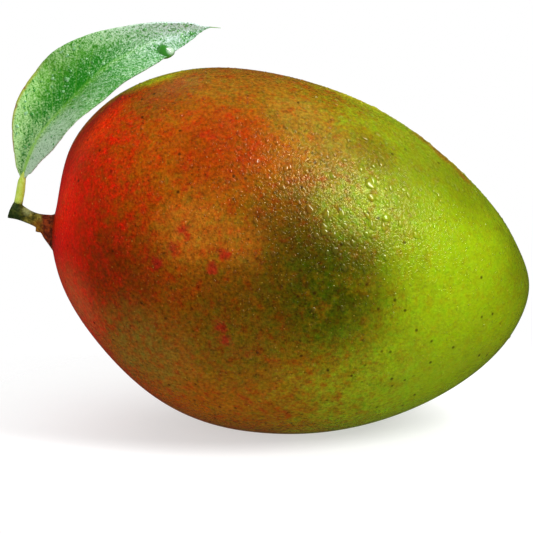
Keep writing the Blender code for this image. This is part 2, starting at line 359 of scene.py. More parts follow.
def mixed(share, first, second):
    """Colours mixed by a share of the second one."""
    inputs = {0: share, 6: first, 7: second}
    return add_node("Mix", inputs, data_type="RGBA").outputs[2]


def ramp(share, stops):
    """A run of colours. Each stop is a position and a colour."""
    made = add_node("ValToRGB", {0: share})
    elements = made.color_ramp.elements
    while len(elements) < len(stops):
        elements.new(0.5)
    for element, (position, colour) in zip(elements, stops):
        element.position = position
        element.color = colour
    return made.outputs[0]


def noise(place, grain, detail=2.0, roughness=0.5, distortion=0.0):
    """Noise between 0 and 1 whose lumps are about this many millimetres across."""
    inputs = {
        "Vector": place,
        "Scale": 1 / grain,
        "Detail": detail,
        "Roughness": roughness,
        "Distortion": distortion,
    }
    return add_node("TexNoise", inputs).outputs[0]


def cells(place, grain):
    """Scattered points this many millimetres apart: distance and a random colour."""
    made = add_node("TexVoronoi", {"Vector": place, "Scale": 1 / grain})
    return made.outputs["Distance"], made.outputs["Color"]


def fade(value, start, end, low=0.0, high=1.0):
    """Goes smoothly from low to high while the value goes from start to end."""
    inputs = {0: value, 1: start, 2: end, 3: low, 4: high}
    return add_node("MapRange", inputs, interpolation_type="SMOOTHSTEP").outputs[0]


def near(place, centre, inner, outer):
    """One inside the inner radius round a point, none outside the outer one."""
    return fade(distance(place, centre), inner, outer, 1.0, 0.0)


def new_material(name):
    """A material, its Principled shader, and the place on the object in millimetres."""
    material = bpy.data.materials.new(name)
    material.use_nodes = True
    nodes = material.node_tree.nodes
    place = scaled(nodes.new("ShaderNodeTexCoord").outputs["Object"], 1 / MM)
    return material, nodes["Principled BSDF"], place


def dress(shader, colour, roughness, shine, tint=WHITE):
    """Sets the colour, the roughness, and how strongly and in what tint it shines."""
    feed(shader.inputs["Base Color"], colour)
    feed(shader.inputs["Roughness"], roughness)
    shader.inputs["Specular IOR Level"].default_value = shine
    shader.inputs["Specular Tint"].default_value = tint


def uneven_roughness(place, lumps, limits):
    return fade(noise(place, *lumps), *NOISE_MIDDLE, *limits)


def add_bump(shader, height, strength, depth):
    """Roughens a surface by a height. The depth is in metres."""
    inputs = {"Height": height, "Strength": strength, "Distance": depth}
    feed(shader.inputs["Normal"], add_node("Bump", inputs).outputs[0])


# The skin's colours, by the place along the fruit in millimetres.
SKIN_FIRST = -62.0
SKIN_LAST = 62.0
SKIN_STOPS = (
    (-60, linear(240, 14, 0)),
    (-53, linear(226, 26, 0)),
    (-45, linear(184, 42, 0)),
    (-35, linear(158, 62, 1)),
    (-23, linear(148, 76, 3)),
    (-10, linear(140, 80, 4)),
    (0, linear(134, 86, 5)),
    (10, linear(128, 104, 7)),
    (20, linear(122, 126, 9)),
    (32, linear(124, 142, 8)),
    (46, linear(124, 145, 4)),
    (58, linear(98, 113, 2)),
)
PALE_DOT = linear(196, 160, 60)
# A painted highlight: the pale glint that the drops are lightened towards.
PAINTED_GLINT = linear(226, 192, 120)
DARK_SPECK = linear(44, 20, 3)
CRIMSON = linear(150, 14, 14)
DARK_GREEN_AND_PAINTED_SHADE = linear(60, 64, 1)
DARK_OLIVE = linear(64, 42, 1)
DARK_RED_BROWN = linear(96, 34, 1)
OLIVE_BROWN = linear(82, 54, 3)
OLIVE_TAN = linear(118, 92, 22)
ORANGE = linear(160, 80, 8)
DEEP_ORANGE = linear(148, 46, 1)
WARM_TAN = linear(168, 94, 16)
TAN_YELLOW = linear(132, 88, 16)
SAND = linear(142, 106, 26)
BRONZE = linear(112, 66, 6)
BACK_GREEN = linear(168, 174, 18)
OLIVE_GREEN = linear(98, 108, 2)
KHAKI = linear(108, 92, 8)
OLIVE_SHADE = linear(100, 80, 6)
MOSS = linear(110, 118, 10)
LIME = linear(142, 168, 8)
STRIPE_RED = linear(140, 52, 3)
MID_GREEN = linear(124, 132, 14)
FRONT_GREEN = linear(134, 154, 4)
STEM_BROWN = linear(120, 32, 4)
# Painted reflection: the pale rim that the white surroundings would give.
PAINTED_RIM_REFLECTION = linear(190, 104, 50)
# Painted light: a brighter red for the shoulder that the leaf shades.
PAINTED_LIGHT_SHOULDER_RED = linear(255, 66, 10)
# The skin's red at the stem end, made brighter as painted light for the dim left side.
END_RED_AND_PAINTED_LIGHT = linear(255, 24, 0)
# Patches: the middle and the inner and outer radius in millimetres, the colour that
# they turn to, and how strongly.
SKIN_PATCHES = (
    # dark green low on the front: partly the skin's own dark green, partly painted shade
    ((7, -39, 45), 6, 26, DARK_GREEN_AND_PAINTED_SHADE, 1),
    ((-1.5, -38, 59), 3, 18, DARK_OLIVE, 0.60),
    ((-12, -40, 40), 4, 20, OLIVE_BROWN, 0.75),
    ((-24, -38, 42), 4, 18, OLIVE_BROWN, 0.25),
    ((-14, -36, 29), 4, 17, OLIVE_SHADE, 0.65),
    ((-42, -30, 46), 3, 22, DARK_RED_BROWN, 0.65),
    ((-36, -27, 27), 5, 20, OLIVE_TAN, 0.85),
    ((-24, -38, 59), 2, 12, WARM_TAN, 0.85),
    ((-12, -39, 56), 1, 9, WARM_TAN, 0.55),
    ((-1.5, -29.5, 77), 1, 11, ORANGE, 0.45),
    ((-16, -29.5, 77.5), 5, 17, DEEP_ORANGE, 0.90),
    ((-14, -5, 91), 8, 20, TAN_YELLOW, 0.85),
    ((-32, -15, 87), 3, 11, BRONZE, 0.70),
    ((2, -20, 84), 2, 12, SAND, 0.80),
    ((10, -26, 78), 2, 11, SAND, 0.65),
    ((20, -21.5, 75.6), 2, 9, KHAKI, 0.80),
    ((31, -15, 71), 3, 12, MOSS, 0.70),
    ((38, -23, 46), 6, 24, LIME, 0.75),
    ((12, -36, 64), 1, 10, MID_GREEN, 0.70),
    ((20, -31.5, 63), 2, 10, FRONT_GREEN, 0.60),
    ((50, -12, 30), 4, 16, FRONT_GREEN, 0.60),
    # painted reflection: a pale pinkish tan band along the left rim
    ((-54, -15, 37), 0, 16, PAINTED_RIM_REFLECTION, 0.65),
    # painted light: brighter red on the upper left shoulder, where the leaf shades it
    ((-49, -8, 80), 4, 13, PAINTED_LIGHT_SHOULDER_RED, 0.80),
    # brighter red on the rim at the stem end: the skin's own red, partly painted light where
    # the left side gets little light
    ((-57, -14, 61), 3, 13, END_RED_AND_PAINTED_LIGHT, 0.90),
    ((-60.8, -1.5, 52), 3.5, 9.5, STEM_BROWN, 0.80),
    ((43, -11, 64), 3, 15, OLIVE_GREEN, 0.75),
    ((33.5, -1, 75.5), 1, 5, STRIPE_RED, 0.65),
    ((38.5, -2.5, 71.8), 1.5, 5.5, STRIPE_RED, 0.70),
    ((43.5, -3.5, 67), 1, 5, STRIPE_RED, 0.65),
)
# Where the green of the back comes over the crown: the middle and two radii.
GREEN_OVER = (
    ((17, 10, 84), 8, 17),
    ((-33, 8, 89), 12, 17.5),
    ((-48, 9, 81), 13.8, 16.8),
    ((-46, 20, 73), 6, 31),
)
CRIMSON_MARKS = (
    (-25.4, -37.5, 58.7),
    (-28.3, -37.4, 54.6),
    (-15.9, -39.8, 53.5),
    (-18.5, -39.7, 50.1),
    (-16.5, -38.6, 35.6),
    (-15.8, -37.8, 32.1),
    (-32.1, -36.4, 50.6),
)
# How the mottling turns the colour: redder in some flecks, more olive in others.
REDDER = (1.14, 0.48, 0.5)
MORE_OLIVE = (0.74, 1.24, 1.3)
# The wettest part of the skin, towards the light: its middle and two radii.
WET_PATCH = ((26.0, -26.0, 66.0), 6.0, 32.0)

# How far the noises move the colours along the fruit, in millimetres.
BROAD_SHIFT = 8.0
PATCHY_SHIFT = 28.0
MOTTLE_SHIFT = 40.0
# The bands of colour lean: below this height they lie nearer the stem.
LEAN_BELOW = 54.0
LEAN = 0.12
# How far the noises move the rims of the green back and of the crimson marks.
BACK_BROAD_SHIFT = 18.0
BACK_PATCHY_SHIFT = 16.0
OVER_SHIFT = 7.0
CRIMSON_SHIFT = 5.0
OVER_STRENGTH = 0.88
GRAIN_CONTRAST = 2.2
PATCHY_CONTRAST = 0.5
DARKEST = 0.25
# Fades: from and to, and the values that go with them. The mottling is calmer at the
# tip and at the stem.
CALM_TIP = (4.0, 42.0, 1.0, 0.32)
CALM_STEM = (-56.0, -38.0, 0.5, 1.0)
BACK_DEPTH = (5.0, 20.0, 0.0, 0.85)
BACK_ALONG = (-60.0, -34.0)
BACK_HEIGHT = (22.0, 60.0)
RAGGED_RIMS = (0.25, 0.60, 0.62, 1.0)
CRIMSON_RIM = (0.3, 2.4, 0.75, 0.0)
RED_FLECKS = (0.50, 0.66, 0.0, 0.85)
OLIVE_FLECKS = (0.34, 0.50, 0.85, 0.0)
# Painted shade: the skin is darkened towards the bottom.
PAINTED_SHADE_BELOW = (2.0, 24.0, 0.84, 1.0)
# Dots: millimetres apart, the inner and the outer radius as shares of that, strength,
# and the share that is left out.
PALE_DOTS = (1.7, 0.05, 0.14, 0.4, 0.45)
SPARSE_SPECKS = (3.2, 0.05, 0.20, 0.8, 0.5)
CLOSE_SPECKS = (1.7, 0.05, 0.20, 0.6, 0.5)
DRAW_WIDTH = 0.2


def tinted(place, colour, ragged, patch):
    """The colour turned towards a patch's own near its middle, with a ragged edge."""
    centre, inner, outer, tint, strength = patch
    inside = times(near(place, centre, inner, outer), ragged)
    return mixed(times(inside, strength), colour, tint)


def dots_on(place, apart, inner, outer, strength, left_out):
    """A mask of scattered round dots, some of them left out at random."""
    away, draw = cells(place, apart)
    drawn = add_node("SeparateColor", {0: draw}).outputs[0]
    dot = fade(away, inner, outer, 1.0, 0.0)
    kept = fade(drawn, left_out, left_out + DRAW_WIDTH, 0.0, strength)
    return times(dot, kept)


def stem_to_tip(x, z, broad, patchy, mottle):
    """The colour by the place along the fruit, its bands broken up by noises."""
    low = maths("MAXIMUM", maths("SUBTRACT", LEAN_BELOW, z), 0.0)
    run = maths("MULTIPLY_ADD", low, LEAN, x)
    run = plus(run, centred(broad, BROAD_SHIFT))
    run = plus(run, centred(patchy, PATCHY_SHIFT))
    run = plus(run, mottle)
    share = add_node("MapRange", {0: run, 1: SKIN_FIRST, 2: SKIN_LAST})
    span = SKIN_LAST - SKIN_FIRST
    stops = [((at - SKIN_FIRST) / span, colour) for at, colour in SKIN_STOPS]
    return ramp(share.outputs[0], stops)


def green_share(place, broad, patchy):
    """How far the skin has turned to the green of the back."""
    x, y, z = parts_of(place)
    back = plus(y, centred(broad, BACK_BROAD_SHIFT))
    back = plus(back, centred(patchy, BACK_PATCHY_SHIFT))
    back = fade(back, *BACK_DEPTH)
    back = times(back, fade(x, *BACK_ALONG))
    back = times(back, fade(z, *BACK_HEIGHT))
    for centre, inner, outer in GREEN_OVER:
        away = plus(distance(place, centre), centred(patchy, OVER_SHIFT))
        over = fade(away, inner, outer, OVER_STRENGTH, 0.0)
        back = maths("MAXIMUM", back, over)
    return back


def crimson_share(place, mottle):
    """How far the skin has turned crimson, in its few small marks."""
    nearest = distance(place, CRIMSON_MARKS[0])
    for mark in CRIMSON_MARKS[1:]:
        nearest = maths("MINIMUM", nearest, distance(place, mark))
    nearest = plus(nearest, centred(mottle, CRIMSON_SHIFT))
    return fade(nearest, *CRIMSON_RIM)


def flecked(place, colour, calm):
    """The colour with redder flecks and more olive ones between them."""
    flecks = noise(moved(place, (40.0, 0.0, 0.0)), 2.4, 5.0, 0.72)
    reds = times(fade(flecks, *RED_FLECKS), calm)
    olives = times(fade(flecks, *OLIVE_FLECKS), calm)
    redder = vector_maths("MULTIPLY", colour, REDDER)[0]
    olive = vector_maths("MULTIPLY", colour, MORE_OLIVE)[0]
    colour = mixed(reds, colour, redder)
    return mixed(olives, colour, olive)


def dotted(place, colour, calm):
    """The colour with pale pores and dark specks."""
    dot = dots_on(place, *PALE_DOTS)
    colour = mixed(dot, colour, PALE_DOT)
    speck = dots_on(moved(place, (7.0, 3.0, 5.0)), *SPARSE_SPECKS)
    colour = mixed(speck, colour, DARK_SPECK)
    speck = dots_on(moved(place, (3.0, 9.0, 2.0)), *CLOSE_SPECKS)
    return mixed(times(speck, calm), colour, DARK_SPECK)


def skin_colour(place):
    """The skin's colour: red to green from stem to tip, mottled, with its marks; some
    patches are painted light, painted shade and a painted reflection, and it has painted
    shade towards the bottom.
    """
    x, _, z = parts_of(place)
    broad = noise(place, 24.0, 2.0)
    patchy = noise(place, 5.0, 3.0, 0.6)
    mottle = noise(place, 1.8, 3.0, 0.65)
    calm = times(fade(x, *CALM_TIP), fade(x, *CALM_STEM))
    fine = times(centred(mottle, MOTTLE_SHIFT), calm)
    colour = stem_to_tip(x, z, broad, patchy, fine)
    green = green_share(place, broad, patchy)
    colour = mixed(green, colour, BACK_GREEN)
    ragged = plus(patchy, centred(mottle, 1.0))
    ragged = fade(ragged, *RAGGED_RIMS)
    for patch in SKIN_PATCHES:
        colour = tinted(place, colour, ragged, patch)
    colour = mixed(crimson_share(place, mottle), colour, CRIMSON)
    colour = flecked(place, colour, calm)
    grain = noise(moved(place, (0.0, 0.0, 30.0)), 0.8, 3.0, 0.65)
    grain = centred(grain, GRAIN_CONTRAST)
    value = plus(grain, centred(patchy, PATCHY_CONTRAST))
    tone_and_painted_shade = maths("MULTIPLY_ADD", value, calm, 1.0)
    # painted shade: darker towards the bottom
    tone_and_painted_shade = times(tone_and_painted_shade, fade(z, *PAINTED_SHADE_BELOW))
    colour = scaled(colour, maths("MAXIMUM", tone_and_painted_shade, DARKEST))
    return dotted(place, colour, calm)


# The skin's surface. A roughness fades over the middle of its noise.
NOISE_MIDDLE = (0.3, 0.7)
SKIN_ROUGHNESS = (0.17, 0.25)
SKIN_SHINE = 0.32
SKIN_SHINE_TINT = (1.0, 0.95, 0.46, 1.0)
BEADS_APART = 0.8
BEAD_RIM = (0.0, 0.45, 1.0, 0.0)
BEAD_HEIGHT = 0.35
WRINKLE_HEIGHT = 1.3
SKIN_BUMP = (1.0, 0.0002)
WATER_SHINE = 0.40
WATER_SHINE_TINT = (1.0, 0.95, 0.70, 1.0)


def make_skin():
    material, shader, place = new_material("mango_skin")
    colour = skin_colour(place)
    rough = uneven_roughness(place, (3.0, 3.0), SKIN_ROUGHNESS)
    dress(shader, colour, rough, SKIN_SHINE, SKIN_SHINE_TINT)
    dew, _ = cells(place, BEADS_APART)
    bead = fade(dew, *BEAD_RIM)
    fine = noise(place, 0.6, 2.0)
    height = maths("MULTIPLY_ADD", bead, BEAD_HEIGHT, fine)
    wet = near(place, *WET_PATCH)
    wrinkle = noise(place, 1.3, 2.0, 0.5, 0.8)
    wrinkle = times(wrinkle, times(wet, WRINKLE_HEIGHT))
    add_bump(shader, plus(height, wrinkle), *SKIN_BUMP)
    return material


def make_drops(name, glint_share, roughness):
    """Water on the skin: it shows the skin's own colour with a little painted glint mixed
    in, and shines.
    """
    material, shader, place = new_material(name)
    colour = skin_colour(place)
    # painted highlight: the drops' colour is lightened towards a pale glint
    colour = mixed(glint_share, colour, PAINTED_GLINT)
    dress(shader, colour, roughness, WATER_SHINE, WATER_SHINE_TINT)
    return material


# The bark's colours, and where they lie. Radii are in millimetres.
BARK_STOPS = (
    (0.34, linear(40, 48, 6)),
    (0.50, linear(98, 92, 16)),
    (0.64, linear(158, 146, 52)),
)
DARK_END = linear(22, 58, 10)
# A painted highlight for the top of the twig.
PAINTED_BARK_HIGHLIGHT = linear(170, 180, 112)
OCHRE = linear(150, 100, 8)
FLARE_DARK = linear(84, 22, 2)
FLARE_LIGHT = linear(158, 62, 10)
STUB_MIDDLE = tuple((ROOT + np.array((-0.0030, -0.0020, 0.0010))) / MM)
STUB_RADII = (1.0, 3.2)
# Where the painted highlight lies on the twig, its radii and its strength.
BARK_HIGHLIGHT_MIDDLE = tuple((ROOT + np.array((-0.0058, -0.0008, 0.0054))) / MM)
BARK_HIGHLIGHT_RADII = (0.5, 1.9)
BARK_HIGHLIGHT_STRENGTH = 0.8
# Fades by the way out from the stem end, in millimetres, moved about by the fibres.
FIBRE_SHIFT = 4.0
CUT_END = (6.0, 8.5, 0.0, 0.85)
FLARE_END = (1.5, 3.5, 1.0, 0.0)
STAIN_FADE = (0.38, 0.66)
SPECKLE_CONTRAST = (0.65, 1.35)
BARK_ROUGHNESS = (0.40, 0.65)
BARK_SHINE = 0.2
BARK_BUMP = (0.9, 0.00025)


def make_bark():
    """Woody skin: olive green, nearly black at the cut end, red-brown at the flare."""
    material, shader, place = new_material("stem_bark")
    x, _, _ = parts_of(place)
    fibre = noise(place, 1.2, 4.0, 0.65)
    colour = ramp(fibre, BARK_STOPS)
    out = maths("SUBTRACT", ROOT_MM[0], x)
    out = plus(out, centred(fibre, FIBRE_SHIFT))
    colour = mixed(fade(out, *CUT_END), colour, DARK_END)
    ochre = near(place, STUB_MIDDLE, *STUB_RADII)
    colour = mixed(ochre, colour, OCHRE)
    # painted highlight along the top of the twig
    painted_bark_highlight = near(place, BARK_HIGHLIGHT_MIDDLE, *BARK_HIGHLIGHT_RADII)
    colour = mixed(times(painted_bark_highlight, BARK_HIGHLIGHT_STRENGTH), colour, PAINTED_BARK_HIGHLIGHT)
    stained = noise(moved(place, (5.0, 5.0, 0.0)), 1.5, 4.0, 0.65)
    flare = mixed(fade(stained, *STAIN_FADE), FLARE_DARK, FLARE_LIGHT)
    colour = mixed(fade(out, *FLARE_END), colour, flare)
    speckle = noise(moved(place, (0.0, 7.0, 0.0)), 0.5, 3.0, 0.6)
    speckle = fade(speckle, *NOISE_MIDDLE, *SPECKLE_CONTRAST)
    colour = scaled(colour, speckle)
    rough = uneven_roughness(place, (0.8, 3.0), BARK_ROUGHNESS)
    dress(shader, colour, rough, BARK_SHINE)
    add_bump(shader, noise(place, 0.6, 4.0, 0.65), *BARK_BUMP)
    return material


# The leaf's colours.
LEAF_GREEN = linear(70, 150, 24)
LEAF_DARK = linear(28, 126, 10)
LEAF_DEEP = linear(20, 100, 8)
# A lighter green used as painted light on the dim part of the blade.
LEAF_PAINTED_LIGHT = linear(104, 178, 48)
LEAF_MIST = linear(196, 234, 164)
LEAF_TIP_MIST = linear(216, 232, 232)
LEAF_RIB_GREEN = linear(146, 206, 76)
LEAF_EDGE = linear(170, 168, 40)
LEAF_EDGE_RED = linear(150, 60, 20)
# Zones of the blade: a fade over its side, from -1 at the upper edge to 1 at the lower
# one, and a fade over the share of its length, from the foot to the tip.
# Painted light: the upper half is lightened towards the foot, where the blade gets little
# light.
PAINTED_LIGHT_ZONE = ((-0.9, -0.3, 1.0, 0.0), (0.3, 0.6, 1.0, 0.0))
# Painted shade: the lower half is darkened towards the tip, where the key light falls on it.
PAINTED_SHADE_ZONE = ((0.0, 0.2), (0.35, 0.60, 0.0, 0.9))
LOWER_ZONE = ((0.0, 0.45, 0.0, 0.30), (0.3, 0.6, 1.0, 0.1))
FOOT_ZONE = ((-0.4, 0.1, 0.60, 1.0), (0.05, 0.48, 0.85, 0.0))
TIP_ZONE = ((0.0, 0.5, 0.62, 0.26), (0.38, 0.92))
EDGE_ZONE = ((-0.99, -0.90, 0.8, 0.0), (0.30, 0.45, 1.0, 0.0))
BAND_ZONE = ((-0.75, -0.25), (0.60, 0.85, 1.0, 0.2))
BAND_BELOW = (-0.05, 0.06, 1.0, 0.0)
OUTER_SIDE = (-1.0, -0.45, 0.16, 0.0)
COOL_SIDE = (0.0, 0.3, 0.0, 0.5)
VEIN_RIM = (0.93, 1.0, 0.0, 0.22)
RIB_HALF_WIDTH = (0.0, 0.25, 0.12, 0.0)
RIB_RIM = (0.01, 0.06, 1.0, 0.0)
RIB_ALONG = (0.05, 0.50, 0.75, 0.12)
# How misted the blade is everywhere, how much less in its band, and how uneven that is.
MIST_BASE = 0.20
MIST_IN_BAND = -0.16
MIST_PATCHES = 0.6
MIST_GRAIN = 3.3
MIST_FADE = (0.05, 1.15, 0.0, 0.90)
HOLLOWS = (0.40, 0.47, 0.6, 0.0)
REDDISH = (0.5, 0.6)
STREAK_SHARE = 0.3
STREAKS_ALONG = 65.0
STREAKS_ACROSS = 4.5
LEAF_ROUGHNESS = (0.30, 0.50)
LUMP_HEIGHT = 0.6
LEAF_BUMP = (0.8, 0.00015)
LEAF_SHINE = 0.22
LEAF_SHINE_TINT = (0.8, 1.0, 0.75, 1.0)


def zone(side, share, fades):
    """A mask over part of the blade."""
    across, along = fades
    return times(fade(side, *across), fade(share, *along))


def leaf_grain(place, side, phase):
    """The grain of the mist, drawn out a little along the veins."""
    along = times(phase, STREAKS_ALONG)
    inputs = {0: along, 1: times(side, STREAKS_ACROSS)}
    run = add_node("CombineXYZ", inputs).outputs[0]
    streak = noise(run, 0.8, 3.0, 0.65)
    grain = times(noise(place, 0.44, 3.0, 0.7), 1 - STREAK_SHARE)
    return maths("MULTIPLY_ADD", streak, STREAK_SHARE, grain)


def leaf_green(share, side, phase, band):
    """The green under the mist: painted light on the upper half near the foot, dark in the
    band, painted shade on the lower half towards the tip, veined.
    """
    # painted light on the upper half near the foot
    light = zone(side, share, PAINTED_LIGHT_ZONE)
    colour = mixed(light, LEAF_GREEN, LEAF_PAINTED_LIGHT)
    colour = mixed(band, colour, LEAF_DARK)
    # painted shade on the lower half towards the tip
    painted_shade = zone(side, share, PAINTED_SHADE_ZONE)
    colour = mixed(painted_shade, colour, LEAF_DARK)
    turn = times(phase, 2 * math.pi * VEIN_PAIRS)
    vein = fade(maths("COSINE", turn), *VEIN_RIM)
    return mixed(vein, colour, LEAF_RIB_GREEN)


def leaf_mist(share, side, band, patchy, grain):
    """How misted the blade is: most at its foot and towards its tip."""
    wet = fade(side, *OUTER_SIDE)
    for fades in (TIP_ZONE, LOWER_ZONE, FOOT_ZONE):
        wet = plus(wet, zone(side, share, fades))
    wet = maths("MULTIPLY_ADD", band, MIST_IN_BAND, wet)
    wet = plus(wet, MIST_BASE)
    wet = plus(wet, centred(patchy, MIST_PATCHES))
    wet = plus(wet, centred(grain, MIST_GRAIN))
    return fade(wet, *MIST_FADE)


def make_leaf():
    """The blade: misted green, darker above the midrib, with pale veins."""
    material, shader, place = new_material("leaf_blade")
    uv = add_node("UVMap", {}, shader.id_data, uv_map="blade").outputs[0]
    share, across, _ = parts_of(uv)
    side = maths("MULTIPLY_ADD", across, 2.0, -1.0)
    off_rib = maths("ABSOLUTE", side)
    lean = times(maths("POWER", off_rib, VEIN_BEND), -VEIN_LEAN)
    phase = plus(share, lean)
    patchy = noise(place, 2.4, 3.0, 0.6)
    grain = leaf_grain(place, side, phase)
    band = zone(side, share, BAND_ZONE)
    band = times(band, fade(side, *BAND_BELOW))
    colour = leaf_green(share, side, phase, band)
    tip = fade(share, *TIP_ZONE[1])
    cool = maths("MAXIMUM", tip, fade(side, *COOL_SIDE))
    mist = leaf_mist(share, side, band, patchy, grain)
    colour = mixed(mist, colour, mixed(cool, LEAF_MIST, LEAF_TIP_MIST))
    colour = mixed(fade(grain, *HOLLOWS), colour, LEAF_DEEP)
    by_rib = maths("SUBTRACT", off_rib, fade(share, *RIB_HALF_WIDTH))
    rib = times(fade(by_rib, *RIB_RIM), fade(share, *RIB_ALONG))
    colour = mixed(rib, colour, LEAF_RIB_GREEN)
    edge = zone(side, share, EDGE_ZONE)
    reddish = fade(noise(place, 3.0, 2.0), *REDDISH)
    edge_colour = mixed(reddish, LEAF_EDGE, LEAF_EDGE_RED)
    colour = mixed(edge, colour, edge_colour)
    rough = fade(grain, *NOISE_MIDDLE, *LEAF_ROUGHNESS)
    dress(shader, colour, rough, LEAF_SHINE, LEAF_SHINE_TINT)
    height = maths("MULTIPLY_ADD", patchy, LUMP_HEIGHT, grain)
    add_bump(shader, height, *LEAF_BUMP)
    return material


def big_drop_middle():
    """Where the one large drop lies on the blade, in millimetres."""
    points, _, _ = blade_points()
    row = round(BIG_DROP_SHARE * BLADE_ROWS)
    column = round((BIG_DROP_SIDE + 1) / 2 * BLADE_COLUMNS)
    return points[row, column] / MM


# The large drop is deeper green, with a pale painted highlight on its upper right. Radii are
# in millimetres.
LEAF_DROP_ROUGHNESS = 0.12
LEAF_DROP_SHINE = 0.6
LEAF_DROP_STOPS = ((0.40, linear(60, 140, 50)), (0.60, linear(150, 200, 146)))
BIG_DROP_GREEN = linear(50, 120, 36)
BIG_DROP_RADII = (1.8, 2.8)
PAINTED_DROP_HIGHLIGHT = linear(206, 230, 206)
DROP_HIGHLIGHT_OFFSET = (1.3, -0.6, 0.5)
DROP_HIGHLIGHT_RADII = (0.5, 1.7)
DROP_HIGHLIGHT_STRENGTH = 0.75


def make_leaf_drops():
    """Water on the leaf, as green as what it lies on."""
    material, shader, place = new_material("leaf_dew")
    colour = ramp(noise(place, 2.0, 2.0), LEAF_DROP_STOPS)
    middle = big_drop_middle()
    big = near(place, tuple(middle), *BIG_DROP_RADII)
    colour = mixed(big, colour, BIG_DROP_GREEN)
    # painted highlight: the big drop is paled on its upper right side
    painted_drop_highlight = near(place, tuple(middle + DROP_HIGHLIGHT_OFFSET), *DROP_HIGHLIGHT_RADII)
    colour = mixed(times(painted_drop_highlight, DROP_HIGHLIGHT_STRENGTH), colour, PAINTED_DROP_HIGHLIGHT)
    dress(shader, colour, LEAF_DROP_ROUGHNESS, LEAF_DROP_SHINE)
    return material


# The stalk's colours, and the heights over the stem end where they change.
STALK_ROUGHNESS = 0.4
STALK_SHINE = 0.3
LIME_STOPS = ((0.3, linear(196, 224, 56)), (0.7, linear(224, 242, 132)))
STALK_FOOT = linear(110, 116, 30)
FOOT_ENDS = (6.5, 8.5, 1.0, 0.0)
RIB_BACK_GREEN = linear(100, 160, 50)
BACK_GREEN_BEGINS = (18.0, 30.0)


def make_stalk():
    """The stalk is pale lime; its run behind the blade is the blade's green."""
    material, shader, place = new_material("leaf_rib")
    _, _, z = parts_of(place)
    lime = ramp(noise(place, 1.2, 3.0, 0.6), LIME_STOPS)
    up = maths("SUBTRACT", z, ROOT_MM[2])
    colour = mixed(fade(up, *FOOT_ENDS), lime, STALK_FOOT)
    colour = mixed(fade(up, *BACK_GREEN_BEGINS), colour, RIB_BACK_GREEN)
    dress(shader, colour, STALK_ROUGHNESS, STALK_SHINE)
    return material


# The fruit.
def build_skin(material):
    shape = bmesh.new()
    bmesh.ops.create_uvsphere(
        shape, u_segments=SKIN_SEGMENTS, v_segments=SKIN_RINGS, radius=1.0
    )
    places = np.array([vertex.co for vertex in shape.verts])
    polar = np.arccos(np.clip(-places[:, 2], -1, 1))
    turn = np.arctan2(places[:, 1], places[:, 0])
    points = skin_points(station_of(polar), turn)
    points[:, 2] = np.maximum(points[:, 2], 0.0)
    for vertex, point in zip(shape.verts, points):
        vertex.co = point
    face_out(shape)
    piece(object_of(shape, "skin", material), "skin", "fruit")


def dome(sides, rings):
    """A unit dome on the plane z = 0: its corners and faces, closed below."""
    corners = [(0.0, 0.0, 1.0)]
    for ring in range(1, rings + 1):
        angle = math.pi / 2 * ring / rings
        for spoke in range(sides):
            turn = 2 * math.pi * spoke / sides
            reach = math.sin(angle)
            corners.append(
                (reach * math.cos(turn), reach * math.sin(turn), math.cos(angle))
            )
    faces = []
    for spoke in range(sides):
        after = (spoke + 1) % sides
        faces.append((0, 1 + spoke, 1 + after))
        for ring in range(rings - 1):
            low = 1 + ring * sides
            high = low + sides
            faces.append((low + spoke, high + spoke, high + after, low + after))
    last = 1 + (rings - 1) * sides
    faces.append(tuple(last + spoke for spoke in range(sides - 1, -1, -1)))
    return np.array(corners), faces


# How uneven the rims of the drops are, the most that they are drawn out downwards,
# and how deep they sit, as a share of their height.
RIM_WAVES = ((2, 0.14), (3, 0.10))
MOST_DRAWN_OUT = 1.35
SUNK_SHARE = 0.12


def drops_object(name, material, random, places, facings, alongs, sizes, mesh_steps):
    """Water drops joined in one mesh: low domes with uneven rims, a little sunk in.

    The sizes are the radius and the height of each, and the mesh steps are the sides
    and the rings of a dome.
    """
    radii, heights = sizes
    corners, faces = dome(*mesh_steps)
    count = len(places)
    across = np.cross(facings, alongs)
    turn = np.arctan2(corners[:, 1], corners[:, 0])
    phase = random.uniform(0, 2 * math.pi, (count, 2))
    lean = random.uniform(1.0, MOST_DRAWN_OUT, count)
    uneven = 1
    for wave, (lobes, share) in enumerate(RIM_WAVES):
        start = phase[:, wave : wave + 1]
        uneven = uneven + share * np.sin(lobes * turn[None] + start)
    reach = radii[:, None] * uneven
    forward = (reach * corners[None, :, 0] * lean[:, None])[..., None]
    sideways = (reach * corners[None, :, 1])[..., None]
    rise = (heights[:, None] * (corners[None, :, 2] - SUNK_SHARE))[..., None]
    points = places[:, None] + forward * alongs[:, None]
    points = points + sideways * across[:, None] + rise * facings[:, None]
    all_faces = []
    for i in range(count):
        first = i * len(corners)
        all_faces.extend([tuple(first + corner for corner in face) for face in faces])
    mesh = bpy.data.meshes.new(name)
    mesh.from_pydata(points.reshape(-1, 3), [], all_faces)
    return object_of_mesh(mesh, name, material)


# The dew on the skin: how far along the fruit it goes, where it is thickest, how far
# that spreads, how thick the rest is, and where it ends below. Lengths are in metres.
TRIES_PER_DROP = 12
DEWY_STATIONS = 0.97
THICKEST_XZ = (0.016, 0.068)
THICK_SPREAD = (0.026, 0.020)
REST_SHARE = 0.10
LOWEST_DEW = 0.010
MOST_OVERHANG = -0.55
# Radii in millimetres, heights as shares of them, and the sides and rings of a dome.
SMALLEST_DROP = 0.20
DROP_GROWTH = 0.30
THICK_GROWTH = 0.8
DROP_HEIGHT = 0.36
HIGHEST_DROP = 0.34
MIST_RADII = (0.09, 0.24)
MIST_HEIGHT = 0.5
DROP_STEPS = (14, 4)
MIST_STEPS = (7, 2)


